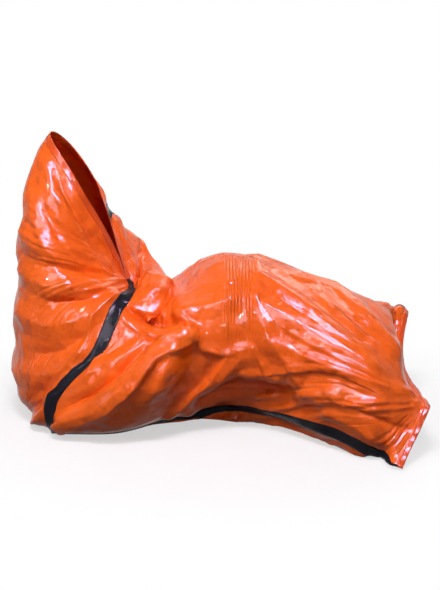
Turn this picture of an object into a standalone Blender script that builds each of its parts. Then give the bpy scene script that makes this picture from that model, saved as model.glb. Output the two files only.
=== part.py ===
"""Film survival bag, drawn as it stands when someone sits in it with bent knees and
pulls its mouth over the head: an empty, open bag in its worn shape.

The bag points along +X: the hood is over the origin and the foot end is at +X. Its near side
is at -Y. The origin is the middle of the seat, on the ground, and +Z is up. Sizes are metres.

The film is a tube. Seventeen sections, called stations, give its shape from the mouth to the
foot end. Each station lies in a plane square to XZ, so the torso's stations are level, the
lap's fan about the fold at the waist, and the legs' stand upright. The film's main folds then
stand out of that shape.
"""

from collections import namedtuple
from math import radians

import bmesh
import bpy
import numpy as np

# The bag's extent in its worn shape, before its folds.
BAG_LENGTH = 1.184          # along X, from the back to the foot end
BAG_WIDTH = 0.644           # along Y, at the hips and the loose film beside them
HOOD_HEIGHT = 0.761         # from the ground to the hood's crown

# Sizes of the pieces.
FILM_WALL = 0.0010          # stands for film about 0.1 mm thick
BAND_WALL = 0.0012          # black side band, welded over the two edges
BAND_WIDTH = 0.036
HEM_WALL = 0.0016           # the film's edge, turned in and welded down
HEM_WIDTH = 0.018           # on average: wider at the crown, gathered up at the throat
FOOT_OPENING = 0.0060       # between the plies where the foot weld starts
WELD_WIDTH = 0.012          # heat-sealed strip across the foot end
WELD_WALL = FOOT_OPENING + 2 * FILM_WALL     # it covers both plies
FOOT_LIP = 0.010            # flat film before the weld
GAP = 0.0003                # between pieces that touch

# How far the legs point away from the way the chest faces: the shift along X for each metre
# of Y. It comes in between these two places, in percent of the bag's length from the origin.
LEG_SKEW = 0.30
SKEW_START = 1.69
SKEW_FULL = 16.89

# The film tucks in below the knee, on the near side, at this angle round the section.
TUCK_ANGLE = -128
TUCK_SPREAD = 20

# Mesh fineness.
ROWS = 64
PLY_COLUMNS = 27
CURVE_SAMPLES = 400

# One section of the bag. back and front are the (x, z) of its rearmost or lowest point and of
# its foremost or highest one. near and far are half widths, and bow brings a side forward. All
# of these are percentages: x and bow of BAG_LENGTH, near and far of BAG_WIDTH, z of HOOD_HEIGHT.
# middle is where the section is widest, as a share of the way from back to front. The powers
# make it squarer than an ellipse. lean turns it in its plane, in degrees. pinch narrows the
# front, tuck the near lower corner. The seams are angles from the front, near side negative.
Station = namedtuple("Station", "back front near far middle front_power back_power lean "
                                "bow_near bow_far pinch_near pinch_far tuck near_seam far_seam")

STATIONS = [
    # the mouth, from the crown of the hood down to the throat
    Station((-10.14, 99.87), (7.77, 45.86), 13.20, 15.53, 0.42, 2.0, 2.0, 0,
            3.55, 0.84, 0.75, 0.75, 0.00, -2, 70),
    Station((-13.34, 92.77), (8.61, 44.42), 19.41, 23.29, 0.40, 2.0, 2.0, 0,
            2.87, 1.27, 0.60, 0.30, 0.00, -3, 76),
    # shoulders and upper arms
    Station((-15.29, 80.81), (9.46, 42.84), 28.73, 31.83, 0.40, 2.2, 2.2, 0,
            1.86, 1.35, 0.40, -0.28, 0.00, -9, 82),
    Station((-15.79, 65.70), (11.40, 43.63), 34.94, 36.49, 0.45, 2.3, 2.3, 0,
            0.84, 2.20, 0.30, -0.36, 0.00, -27, 86),
    # forearms held across the waist
    Station((-16.55, 49.93), (14.36, 46.25), 37.27, 38.82, 0.48, 2.4, 2.4, 0,
            0.00, 3.04, 0.25, -0.34, 0.00, -45, 88),
    Station((-17.23, 34.17), (16.55, 47.31), 39.60, 41.15, 0.48, 2.5, 2.5, 0,
            0.00, 1.01, 0.15, -0.16, 0.00, -60, 90),
    Station((-17.23, 19.71), (17.57, 45.99), 42.70, 41.93, 0.48, 2.5, 2.7, 0,
            0.00, 0.00, 0.05, 0.00, 0.00, -66, 92),
    # hips and seat
    Station((-15.20, 5.26), (18.07, 44.42), 46.58, 41.93, 0.45, 2.5, 3.2, 0,
            0.00, 0.00, 0.00, 0.00, 0.00, -71, 92),
    Station((-9.29, -1.31), (18.58, 43.89), 54.04, 38.51, 0.42, 2.5, 4.5, 0,
            0.00, 0.00, 0.00, 0.00, 0.00, -93, 90),
    Station((-2.11, -1.31), (19.93, 44.15), 57.76, 37.58, 0.40, 2.4, 5.0, 2,
            0.00, 0.00, 0.00, 0.00, 0.00, -130, 88),
    # thighs
    Station((8.45, -1.31), (22.80, 47.96), 55.59, 37.27, 0.42, 2.4, 5.0, 4,
            0.00, 0.00, 0.00, 0.00, 0.10, -140, 86),
    Station((20.27, -0.53), (27.45, 53.22), 40.37, 35.71, 0.45, 2.4, 4.5, 5,
            0.00, 0.00, 0.00, 0.00, 0.25, -132, 84),
    # knees
    Station((32.09, 0.39), (34.21, 57.03), 34.16, 33.39, 0.48, 2.4, 4.0, 6,
            0.00, 0.00, 0.00, 0.00, 0.35, -126, 82),
    # shins
    Station((43.07, 0.39), (44.34, 54.14), 34.94, 34.16, 0.48, 2.4, 4.0, 8,
            0.00, 0.00, 0.00, 0.00, 0.30, -124, 82),
    Station((54.90, -0.53), (55.74, 47.83), 41.93, 35.71, 0.48, 2.4, 4.0, 10,
            0.00, 0.00, 0.00, 0.00, 0.20, -124, 84),
    # feet, and the loose film beyond them
    Station((62.50, -1.05), (65.46, 41.52), 46.58, 39.13, 0.45, 2.4, 3.5, 12,
            0.00, 0.00, 0.00, 0.00, 0.10, -116, 86),
    Station((65.46, -1.05), (72.21, 34.17), 43.48, 40.68, 0.42, 2.4, 3.0, 14,
            0.00, 0.00, 0.00, 0.00, 0.00, -106, 88),
]

# The foot end's line, from the near corner on the ground to the far corner, in percent of the
# length, width and height.
FOOT_LINE = [
    (77.70, -50.47, 1.05), (78.55, -44.72, 4.47), (80.24, -37.89, 10.51),
    (81.76, -31.06, 16.82), (78.97, -18.63, 17.35), (75.59, -4.66, 17.74),
    (73.06, 7.76, 19.97), (71.79, 20.19, 24.97), (71.62, 31.06, 30.22),
    (71.37, 38.82, 31.27),
]
FOOT_DIRECTION = (0.93, -0.20, -0.30)      # the way the bag points at its foot end

# The film's main folds, each a ridge that stands out of the film. rise is its height and reach
# half its width, in metres. Its route passes through these places, in percent of the length,
# width and height, each moved to the nearest place on the film. A twin is the same fold on the
# other side. All folds fade out towards the seams, the ground and the ends of the bag.
FOLD_FADE = 0.045
Fold = namedtuple("Fold", "rise reach twin route")

FOLDS = [
    # from the hood and the shoulder to the clasp at the throat
    Fold(0.011, 0.038, True, [(-9, -9, 92), (-6, -20, 80), (-1, -22, 68), (6, -17, 51)]),
    Fold(0.013, 0.042, True, [(-13, -23, 67), (-6, -33, 64), (-1, -26, 62), (6, -12, 54)]),
    # over the upper arm and the elbow
    Fold(0.014, 0.042, True, [(-13, -28, 54), (-5, -36, 51), (3, -33, 51), (8, -12, 47)]),
    Fold(0.014, 0.044, True, [(-13, -30, 38), (-4, -40, 37), (3, -39, 39), (11, -26, 46)]),
    # across the back
    Fold(0.012, 0.044, False, [(-17, 25, 53), (-18, 9, 49), (-18, -9, 43), (-14, -26, 32)]),
    Fold(0.012, 0.044, False, [(-16, 20, 75), (-16, 5, 70), (-16, -11, 66), (-14, -22, 58)]),
    Fold(0.012, 0.044, False, [(-17, 30, 29), (-18, 12, 26), (-18, -9, 20), (-14, -30, 16)]),
    # beside the seat
    Fold(0.013, 0.042, True, [(-13, -36, 17), (-5, -45, 20), (0, -47, 22), (5, -45, 29)]),
    # over the forearm
    Fold(0.014, 0.040, False, [(13, -2, 46), (14, -11, 47), (15, -22, 45)]),
    # from the waist to the knee, down over the hip, and below the thigh
    Fold(0.013, 0.040, True, [(26, -34, 43), (31, -31, 47), (37, -28, 49)]),
    Fold(0.015, 0.046, True, [(29, -40, 38), (23, -48, 33), (18, -56, 24), (12, -57, 14), (3, -57, 8)]),
    Fold(0.015, 0.046, True, [(41, -34, 30), (35, -34, 18), (29, -33, 8)]),
    # the loose wall beside the legs
    Fold(0.013, 0.040, True, [(41, -34, 24), (45, -33, 18), (48, -34, 21), (51, -36, 26)]),
    Fold(0.013, 0.040, True, [(52, -36, 25), (54, -36, 18), (57, -39, 20), (62, -42, 22)]),
    # down from the knee, along the shins, and to the foot corner
    Fold(0.012, 0.040, False, [(40, -2, 57), (43, -25, 49), (47, -34, 37), (53, -37, 28)]),
    Fold(0.013, 0.044, False, [(50, 2, 51), (57, 9, 47), (65, -5, 42), (73, -16, 33)]),
    Fold(0.012, 0.038, True, [(45, -26, 47), (57, -31, 39), (70, -36, 32)]),
    Fold(0.012, 0.038, True, [(42, -12, 54), (55, -22, 46), (68, -30, 35)]),
    # the flap at the near foot corner
    Fold(0.011, 0.036, False, [(62, -40, 14), (68, -45, 12), (73, -43, 8), (78, -45, 5)]),
]

SHARP_ANGLE = 40            # degrees: shading breaks at sharper edges, such as the rims

# Colour and roughness.
ORANGE_FILM = ((0.84, 0.115, 0.012, 1.0), 0.22)
DOUBLED_FILM = ((0.72, 0.085, 0.010, 1.0), 0.25)
BLACK_BAND = ((0.012, 0.012, 0.016, 1.0), 0.18)


def clear_scene():
    for obj in list(bpy.data.objects):
        bpy.data.objects.remove(obj, do_unlink=True)


def film_material(name, finish):
    colour, roughness = finish
    material = bpy.data.materials.new(name)
    material.use_nodes = True
    shader = material.node_tree.nodes["Principled BSDF"]
    shader.inputs["Base Color"].default_value = colour
    shader.inputs["Roughness"].default_value = roughness
    shader.inputs["Metallic"].default_value = 0.0
    return material


def unit(vectors):
    """Each vector with its length made one."""
    return vectors / np.maximum(np.linalg.norm(vectors, axis=-1, keepdims=True), 1e-12)


def sized(percentages, size):
    """Lengths in metres from percentages of one of the bag's sizes."""
    return np.array(percentages) * size / 100


def eased(share):
    share = np.clip(share, 0, 1)
    return share * share * (3 - 2 * share)


def skew_share(x):
    """How much of the legs' skew there is at this place along the bag."""
    start = sized(SKEW_START, BAG_LENGTH)
    full = sized(SKEW_FULL, BAG_LENGTH)
    return eased((x - start) / (full - start))


def skewed(points):
    """Turns the legs away from the chest by sliding each point along X with its Y."""
    moved = points.copy()
    moved[..., 0] -= LEG_SKEW * skew_share(points[..., 0]) * points[..., 1]
    return moved


def section_points(station, angles):
    """Points of a station's outline at these angles from its front."""
    upright_size = np.array((BAG_LENGTH, HOOD_HEIGHT))
    back = sized(station.back, upright_size)
    front = sized(station.front, upright_size)
    near, far = sized((station.near, station.far), BAG_WIDTH)
    bow_near, bow_far = sized((station.bow_near, station.bow_far), BAG_LENGTH)
    depth = np.linalg.norm(front - back)
    along = (front - back) / depth
    square = np.array((-along[1], along[0]))
    centre = back + station.middle * depth * along
    cosine = np.cos(angles)
    sine = np.sin(angles)
    ahead = cosine > 0
    far_side = sine > 0
    power = 2 / np.where(ahead, station.front_power, station.back_power)
    reach = np.where(ahead, 1 - station.middle, station.middle) * depth
    forward = np.sign(cosine) * np.abs(cosine) ** power * reach
    side = np.sign(sine) * np.abs(sine) ** power * np.where(far_side, far, near)
    pinch = np.where(far_side, station.pinch_far, station.pinch_near)
    side = side * (1 - pinch * np.clip(cosine, 0, 1))
    from_tuck = (np.degrees(angles) - TUCK_ANGLE + 180) % 360 - 180
    side = side * (1 - station.tuck * np.exp(-(from_tuck / TUCK_SPREAD) ** 2))
    lean = radians(station.lean)
    turned = forward * np.cos(lean) + side * np.sin(lean)
    side = side * np.cos(lean) - forward * np.sin(lean)
    bow = np.where(far_side, bow_far, bow_near) * sine ** 2
    x = centre[0] + turned * along[0] + bow * square[0]
    z = centre[1] + turned * along[1] + bow * square[1]
    return skewed(np.stack([x, side, z], axis=-1))


def smooth_between(knots, values, places):
    """A smooth curve through values at the knots that never swings past them."""
    shape = (-1,) + (1,) * (values.ndim - 1)
    steps = np.diff(knots).reshape(shape)
    slopes = np.diff(values, axis=0) / steps
    left, right = slopes[:-1], slopes[1:]
    weight_left = 2 * steps[1:] + steps[:-1]
    weight_right = steps[1:] + 2 * steps[:-1]
    same_way = left * right > 0
    safe_left = np.where(same_way, left, 1)
    safe_right = np.where(same_way, right, 1)
    mean = (weight_left + weight_right) / (weight_left / safe_left + weight_right / safe_right)
    tangents = np.concatenate([slopes[:1], np.where(same_way, mean, 0), slopes[-1:]])
    span = np.clip(np.searchsorted(knots, places) - 1, 0, len(knots) - 2)
    step = steps[span]
    t = (places - knots[span]).reshape(shape) / step
    return (values[span] * (1 + 2 * t) * (1 - t) ** 2 + values[span + 1] * t * t * (3 - 2 * t)
            + step * (tangents[span] * t * (1 - t) ** 2 + tangents[span + 1] * t * t * (t - 1)))


def lengths_along(line):
    return np.concatenate([[0], np.cumsum(np.linalg.norm(np.diff(line, axis=0), axis=1))])


def at_lengths(line, wanted):
    """Points of a line at these lengths from its start."""
    lengths = lengths_along(line)
    return np.stack([np.interp(wanted, lengths, line[:, k]) for k in range(3)], axis=-1)


def column_lengths(total):
    """Where the columns lie on one half of a section: the first seam, then the edge of its
    band, the ply between the two bands, and the other seam."""
    ply = np.linspace(BAND_WIDTH / 2, total - BAND_WIDTH / 2, PLY_COLUMNS)
    return np.concatenate([[0], ply, [total]])


def on_half(half):
    return at_lengths(half, column_lengths(lengths_along(half)[-1]))


def station_ring(station):
    """Points round a section: from the near seam over the front, then round the back."""
    near = radians(station.near_seam)
    far = radians(station.far_seam)
    front = section_points(station, np.linspace(near, far, CURVE_SAMPLES))
    back = section_points(station, np.linspace(far, near + 2 * np.pi, CURVE_SAMPLES))
    for half in (front, back):
        half[:, 2] = np.maximum(half[:, 2], FILM_WALL)
    return np.concatenate([on_half(front), on_half(back)[1:-1]])


def foot_frame():
    """The foot line's points, one a column, and its ways up out of the film and onward."""
    corners = sized(FOOT_LINE, np.array((BAG_LENGTH, BAG_WIDTH, HOOD_HEIGHT)))
    knots = lengths_along(corners)
    line = smooth_between(knots, corners, np.linspace(0, knots[-1], CURVE_SAMPLES))
    line = on_half(line)
    across = unit(np.gradient(line, axis=0))
    up = unit(np.cross(np.array(FOOT_DIRECTION), across))
    onward = unit(np.cross(across, up))
    return line, up, onward


def foot_ring(from_end):
    """The flattened tube this far short of its end: the foot line, opened between the plies."""
    line, up, onward = foot_frame()
    line = line - onward * from_end
    half = up * FOOT_OPENING / 2
    half[[0, -1]] = 0
    return np.concatenate([line + half, (line - half)[-2:0:-1]])


def tube_columns():
    """The columns of each piece round the tube, from the near seam over the front."""
    front = list(range(1, 1 + PLY_COLUMNS))
    far_seam = PLY_COLUMNS + 1
    back = list(range(far_seam + 1, far_seam + 1 + PLY_COLUMNS))
    return front, [front[-1], far_seam, back[0]], back, [back[-1], 0, front[0]]


def fold_routes(fold, rings):
    """A fold's route on the film, and its twin's on the other side."""
    route = sized(fold.route, np.array((BAG_LENGTH, BAG_WIDTH, HOOD_HEIGHT)))
    routes = [route]
    if fold.twin:
        other = route * (1, -1, 1)
        other[:, 0] += 2 * LEG_SKEW * skew_share(route[:, 0]) * route[:, 1]
        routes.append(other)
    film = rings.reshape(-1, 3)
    return [film[[np.linalg.norm(film - place, axis=1).argmin() for place in places]]
            for places in routes]


def away_from(points, route):
    """The distance of each point from a route."""
    nearest = np.full(points.shape[:-1], np.inf)
    for start, end in zip(route[:-1], route[1:]):
        run = end - start
        share = np.clip((points - start) @ run / np.maximum(run @ run, 1e-12), 0, 1)
        gap = np.linalg.norm(points - start - share[..., None] * run, axis=-1)
        nearest = np.minimum(nearest, gap)
    return nearest


def fold_rises(rings):
    """How far the main folds lift each point of the film."""
    rises = np.zeros(rings.shape[:2])
    for fold in FOLDS:
        for route in fold_routes(fold, rings):
            across = np.clip(1 - away_from(rings, route) / fold.reach, 0, 1)
            rises = np.maximum(rises, fold.rise * across)
    for seam in (0, PLY_COLUMNS + 1):
        from_seam = np.linalg.norm(rings - rings[:, seam:seam + 1], axis=2)
        rises *= eased(from_seam / FOLD_FADE)
    rises *= eased((rings[..., 2] - FILM_WALL) / FOLD_FADE)
    for end in (0, -1):
        from_end = np.linalg.norm(rings - rings[end], axis=2)
        rises *= eased((from_end - HEM_WIDTH * (end == 0)) / FOLD_FADE)
    return rises


def outward_from(rings):
    """The way out of the film at each point, from the faces that meet there."""
    beside = np.roll(rings, -1, axis=1)
    diagonal = beside[1:] - rings[:-1]
    first = unit(np.cross(diagonal, beside[:-1] - rings[:-1]))
    second = unit(np.cross(rings[1:] - rings[:-1], diagonal))
    total = np.zeros(rings.shape)
    total[:-1] += first + second + np.roll(first, 1, axis=1)
    total[1:] += second + np.roll(first + second, 1, axis=1)
    return unit(total)


def tube():
    """Rows of points round the whole tube, mouth to foot, with their outward directions."""
    rings = [station_ring(station) for station in STATIONS]
    rings = np.array(rings + [foot_ring(FOOT_LIP), foot_ring(0)])
    spacing = np.linalg.norm(np.diff(rings, axis=0), axis=2).mean(axis=1)
    knots = np.concatenate([[0], np.cumsum(spacing)])
    places = np.concatenate([[0, HEM_WIDTH / 2], np.linspace(HEM_WIDTH, knots[-1], ROWS)])
    rings = smooth_between(knots, rings, places)
    rings = rings + outward_from(rings) * fold_rises(rings)[..., None]
    outward = outward_from(rings)
    line, up, _ = foot_frame()
    far_seam = PLY_COLUMNS + 1
    outward[-1, 0] = unit(line[0] - line[1])
    outward[-1, 1:far_seam] = up[1:-1]
    outward[-1, far_seam] = unit(line[-1] - line[-2])
    outward[-1, far_seam + 1:] = -up[-2:0:-1]
    return rings, outward


def drawn_back(rings, axis, first, last):
    """The grid with its first or last line moved half a gap inwards, clear of a neighbour."""
    lines = np.swapaxes(rings, 0, axis).copy()
    for wanted, edge, inside in ((first, 0, 1), (last, -1, -2)):
        if wanted:
            along = unit(np.gradient(lines[edge], axis=0))
            inward = lines[inside] - lines[edge]
            inward -= np.sum(inward * along, axis=-1, keepdims=True) * along
            lines[edge] += unit(inward) * GAP / 2
    return np.swapaxes(lines, 0, axis)


def add_object(name, points, faces, finish):
    mesh = bpy.data.meshes.new(name)
    work = bmesh.new()
    corners = [work.verts.new(point) for point in points]
    for face in faces:
        work.faces.new([corners[i] for i in face])
    work.to_mesh(mesh)
    work.free()
    mesh.shade_smooth()
    mesh.set_sharp_from_angle(angle=radians(SHARP_ANGLE))
    mesh.materials.append(film_material(name, finish))
    obj = bpy.data.objects.new(name, mesh)
    bpy.context.scene.collection.objects.link(obj)
    return obj


def film_piece(name, rings, outward, rows, columns, wall, finish):
    """A closed solid from a patch of the tube: its inner face, its outer one and its rims."""
    inner = drawn_back(rings[rows][:, columns], 1, True, True)
    inner = drawn_back(inner, 0, rows.start > 0, rows.stop is not None)
    outer = inner + outward[rows][:, columns] * wall
    outer[..., 2] = np.where(inner[..., 2] <= FILM_WALL, 0, np.maximum(outer[..., 2], 0))
    height, width = inner.shape[:2]
    layer = height * width

    def corner(row, column, side):
        return side * layer + row * width + column

    faces = []
    for row in range(height - 1):
        for column in range(width - 1):
            a, b = (row, column), (row, column + 1)
            c, d = (row + 1, column + 1), (row + 1, column)
            # Both sides are split along the same diagonal, so a twisted square keeps its wall.
            for half in ((a, b, c), (a, c, d)):
                faces.append([corner(*place, 0) for place in half])
                faces.append([corner(*place, 1) for place in reversed(half)])
    edge = ([(0, column) for column in range(width)]
            + [(row, width - 1) for row in range(1, height)]
            + [(height - 1, column) for column in range(width - 2, -1, -1)]
            + [(row, 0) for row in range(height - 2, 0, -1)])
    for place, following in zip(edge, edge[1:] + edge[:1]):
        rim = [corner(*place, 1), corner(*following, 1),
               corner(*following, 0), corner(*place, 0)]
        # Two pieces that meet split their rims along the same diagonals.
        turn = 0 if place < following else 1
        rim = rim[1 - turn:] + rim[:1 - turn]
        faces.append(rim[:3])
        faces.append([rim[0], rim[2], rim[3]])
    points = np.concatenate([inner.reshape(-1, 3), outer.reshape(-1, 3)])
    return add_object(name, points, faces, finish)


def foot_weld(finish):
    """The heat-sealed strip that closes the foot end, a flat bar along the foot line."""
    line, up, onward = foot_frame()
    start = line + onward * GAP
    end = start + onward * WELD_WIDTH
    lift = up * WELD_WALL / 2
    corners = np.stack([start - lift, start + lift, end + lift, end - lift], axis=1)
    corners[..., 2] = np.maximum(corners[..., 2], 0)
    faces = [[3, 2, 1, 0], [4 * (len(line) - 1) + k for k in range(4)]]
    for i in range(len(line) - 1):
        for k in range(4):
            following = (k + 1) % 4
            faces.append([4 * i + k, 4 * i + following,
                          4 * (i + 1) + following, 4 * (i + 1) + k])
    return add_object("foot_weld", corners.reshape(-1, 3), faces, finish)


def build_bag():
    rings, outward = tube()
    hem_rows = slice(0, 3)
    ply_rows = slice(2, None)
    all_rows = slice(0, None)
    front, far_band, back, near_band = tube_columns()
    film_piece("back_film", rings, outward, ply_rows, back, FILM_WALL, ORANGE_FILM)
    film_piece("front_film", rings, outward, ply_rows, front, FILM_WALL, ORANGE_FILM)
    film_piece("hood_hem", rings, outward, hem_rows, back, HEM_WALL, DOUBLED_FILM)
    film_piece("chest_hem", rings, outward, hem_rows, front, HEM_WALL, DOUBLED_FILM)
    film_piece("near_side_band", rings, outward, all_rows, near_band, BAND_WALL, BLACK_BAND)
    film_piece("far_side_band", rings, outward, all_rows, far_band, BAND_WALL, BLACK_BAND)
    foot_weld(DOUBLED_FILM)


clear_scene()
build_bag()
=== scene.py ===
from math import cos, pi, radians, sin

import bpy
import numpy as np
from mathutils import Matrix, Vector, noise
from mathutils.bvhtree import BVHTree


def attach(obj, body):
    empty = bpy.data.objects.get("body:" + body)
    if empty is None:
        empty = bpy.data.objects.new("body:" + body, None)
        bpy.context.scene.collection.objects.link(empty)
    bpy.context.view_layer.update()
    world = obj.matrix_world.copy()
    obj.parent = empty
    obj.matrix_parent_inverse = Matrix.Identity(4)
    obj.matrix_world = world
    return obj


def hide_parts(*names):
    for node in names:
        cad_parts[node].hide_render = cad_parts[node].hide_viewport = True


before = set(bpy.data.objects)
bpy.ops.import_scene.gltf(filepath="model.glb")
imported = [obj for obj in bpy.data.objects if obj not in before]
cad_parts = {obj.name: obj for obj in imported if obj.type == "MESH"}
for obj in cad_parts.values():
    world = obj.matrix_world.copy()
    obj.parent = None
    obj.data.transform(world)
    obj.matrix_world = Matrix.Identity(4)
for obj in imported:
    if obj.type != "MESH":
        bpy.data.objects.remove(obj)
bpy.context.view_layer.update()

print("frame loaded, nodes:", sorted(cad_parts))

# the camera comes first, because the folds are laid by where they show in its picture
photoView = dict(
    azimuth=15,               # degrees round the bag
    elevation=17,
    distance=4.0,             # metres from the aim
    aim=(0.365, 0, 0.325),
    focalPixels=1440,
    width=440,
    height=590,
)


def viewAxes(values):
    turn = radians(values["azimuth"])
    lift = radians(values["elevation"])
    back = np.array([sin(turn) * cos(lift), -cos(turn) * cos(lift), sin(lift)])
    right = np.array([cos(turn), sin(turn), 0])
    return right, np.cross(back, right), back


def eyeOf(values):
    return np.array(values["aim"]) + viewAxes(values)[2] * values["distance"]


def toPixels(points, values):
    right, up, back = viewAxes(values)
    ray = points - eyeOf(values)
    depth = -(ray @ back)
    x = values["width"] / 2 + values["focalPixels"] * (ray @ right) / depth
    y = values["height"] / 2 - values["focalPixels"] * (ray @ up) / depth
    return np.stack([x, y], axis=-1)


def makeCamera(values):
    data = bpy.data.cameras.new("photoCamera")
    data.lens = data.sensor_width * values["focalPixels"] / values["height"]
    data.clip_end = 100       # metres
    camera = bpy.data.objects.new("photoCamera", data)
    bpy.context.scene.collection.objects.link(camera)
    axes = Matrix(viewAxes(values)).transposed().to_4x4()
    camera.matrix_world = Matrix.Translation(Vector(eyeOf(values))) @ axes
    bpy.context.scene.camera = camera


makeCamera(photoView)

# The bag's form in metres and degrees, from the mouth to the foot. Each station is a section:
# back and front are (x, z), widths are half widths, middle is the share of the depth where it is
# widest, powers are for the front and back halves (2 is an ellipse, more is squarer), lean turns
# it in its plane, bow bends its sides out of that plane, pinch narrows the front, and tuck draws
# the near side in. Where a value has two sides, the near one comes first.
bagForm = dict(
    stations=[
        dict(back=(-0.120, 0.760), front=(0.092, 0.349), widths=(0.085, 0.100), middle=0.42,
             powers=(2, 2), bow=(0.042, 0.010), pinch=(0.75, 0.75), seams=(-2, 70)),
        dict(back=(-0.158, 0.706), front=(0.102, 0.338), widths=(0.125, 0.150), middle=0.40,
             powers=(2, 2), bow=(0.034, 0.015), pinch=(0.60, 0.30), seams=(-3, 76)),
        dict(back=(-0.181, 0.615), front=(0.112, 0.326), widths=(0.185, 0.205), middle=0.40,
             powers=(2.2, 2.2), bow=(0.022, 0.016), pinch=(0.40, -0.28), seams=(-9, 82)),
        dict(back=(-0.187, 0.500), front=(0.135, 0.332), widths=(0.225, 0.235), middle=0.45,
             powers=(2.3, 2.3), bow=(0.010, 0.026), pinch=(0.30, -0.36), seams=(-27, 86)),
        dict(back=(-0.196, 0.380), front=(0.170, 0.352), widths=(0.240, 0.250), middle=0.48,
             powers=(2.4, 2.4), bow=(0, 0.036), pinch=(0.25, -0.34), seams=(-45, 88)),
        dict(back=(-0.204, 0.260), front=(0.196, 0.360), widths=(0.255, 0.265), middle=0.48,
             powers=(2.5, 2.5), bow=(0, 0.012), pinch=(0.15, -0.16), seams=(-60, 90)),
        dict(back=(-0.204, 0.150), front=(0.208, 0.350), widths=(0.275, 0.270), middle=0.48,
             powers=(2.5, 2.7), pinch=(0.05, 0), seams=(-66, 92)),
        dict(back=(-0.180, 0.040), front=(0.214, 0.338), widths=(0.300, 0.270), middle=0.45,
             powers=(2.5, 3.2), seams=(-71, 92)),
        dict(back=(-0.110, -0.010), front=(0.220, 0.334), widths=(0.348, 0.248), middle=0.42,
             powers=(2.5, 4.5), seams=(-93, 90)),
        dict(back=(-0.025, -0.010), front=(0.236, 0.336), widths=(0.372, 0.242), middle=0.40,
             powers=(2.4, 5), lean=2, seams=(-130, 88)),
        dict(back=(0.100, -0.010), front=(0.270, 0.365), widths=(0.358, 0.240), middle=0.42,
             powers=(2.4, 5), lean=4, tuck=0.10, seams=(-138, 86)),
        dict(back=(0.240, -0.004), front=(0.325, 0.405), widths=(0.260, 0.230), middle=0.45,
             powers=(2.4, 4.5), lean=5, tuck=0.25, seams=(-132, 84)),
        dict(back=(0.380, 0.003), front=(0.405, 0.434), widths=(0.220, 0.215), middle=0.48,
             powers=(2.4, 4), lean=6, tuck=0.35, seams=(-126, 82)),
        dict(back=(0.510, 0.003), front=(0.525, 0.412), widths=(0.225, 0.220), middle=0.48,
             powers=(2.4, 4), lean=8, tuck=0.26, seams=(-114, 82)),
        dict(back=(0.650, -0.004), front=(0.660, 0.364), widths=(0.270, 0.230), middle=0.48,
             powers=(2.4, 4), lean=10, tuck=0.04, seams=(-100, 84)),
        dict(back=(0.740, -0.008), front=(0.775, 0.316), widths=(0.300, 0.252), middle=0.45,
             powers=(2.4, 3.5), lean=12, seams=(-98, 86)),
        dict(back=(0.775, -0.008), front=(0.855, 0.260), widths=(0.280, 0.262), middle=0.42,
             powers=(2.4, 3), lean=14, seams=(-99, 88)),
    ],
    footLine=[
        (0.920, -0.325, 0.008), (0.930, -0.288, 0.034), (0.950, -0.244, 0.080),
        (0.968, -0.200, 0.128), (0.935, -0.120, 0.132), (0.895, -0.030, 0.135),
        (0.865, 0.050, 0.152), (0.850, 0.130, 0.190), (0.848, 0.200, 0.230),
        (0.845, 0.250, 0.238),
    ],
    footDirection=(0.93, -0.20, -0.30),     # the way the foot end points
    footOpening=0.006,        # between the films at the foot
    footLip=0.010,            # how far from the end the films meet
    legSkew=0.30,             # how far the sections turn about the upright, by x
    skewStart=0.02,
    skewFull=0.20,
    tuckAngle=-128,           # where the near side is drawn in under the legs
    tuckSpread=20,
    lowest=0.0012,            # the film's height above the ground where it lies on it
    curveSamples=900,
    rows=450,                 # from the mouth to the foot
    frontColumns=180,         # over the front film
    backColumns=204,          # round the back film
)
farSeam = bagForm["frontColumns"]    # its column in the film's grid, where the near seam is 0


def unit(vectors):
    return vectors / np.maximum(np.linalg.norm(vectors, axis=-1, keepdims=True), 1e-12)


def eased(share):
    share = np.clip(share, 0, 1)
    return share * share * (3 - 2 * share)


# the share of the legs' skew at each x
def skewShare(x):
    return eased((x - bagForm["skewStart"]) / (bagForm["skewFull"] - bagForm["skewStart"]))


def sectionPoints(station, angles):
    back, front = np.array(station["back"]), np.array(station["front"])
    (near, far), middle = station["widths"], station["middle"]
    frontPower, backPower = station["powers"]
    bowNear, bowFar = station.get("bow", (0, 0))
    pinchNear, pinchFar = station.get("pinch", (0, 0))
    tuck, lean = station.get("tuck", 0), radians(station.get("lean", 0))
    depth = np.linalg.norm(front - back)
    along = (front - back) / depth
    square = np.array((-along[1], along[0]))
    centre = back + middle * depth * along
    cosine, sine = np.cos(angles), np.sin(angles)
    ahead, farSide = cosine > 0, sine > 0
    power = 2 / np.where(ahead, frontPower, backPower)
    reach = np.where(ahead, 1 - middle, middle) * depth
    forward = np.sign(cosine) * np.abs(cosine) ** power * reach
    side = np.sign(sine) * np.abs(sine) ** power * np.where(farSide, far, near)
    side = side * (1 - np.where(farSide, pinchFar, pinchNear) * np.clip(cosine, 0, 1))
    fromTuck = (np.degrees(angles) - bagForm["tuckAngle"] + 180) % 360 - 180
    side = side * (1 - tuck * np.exp(-(fromTuck / bagForm["tuckSpread"]) ** 2))
    turned = forward * cos(lean) + side * sin(lean)
    side = side * cos(lean) - forward * sin(lean)
    bow = np.where(farSide, bowFar, bowNear) * sine ** 2
    x = centre[0] + turned * along[0] + bow * square[0]
    z = centre[1] + turned * along[1] + bow * square[1]
    return np.stack([x - bagForm["legSkew"] * skewShare(x) * side, side, z], axis=-1)


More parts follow.
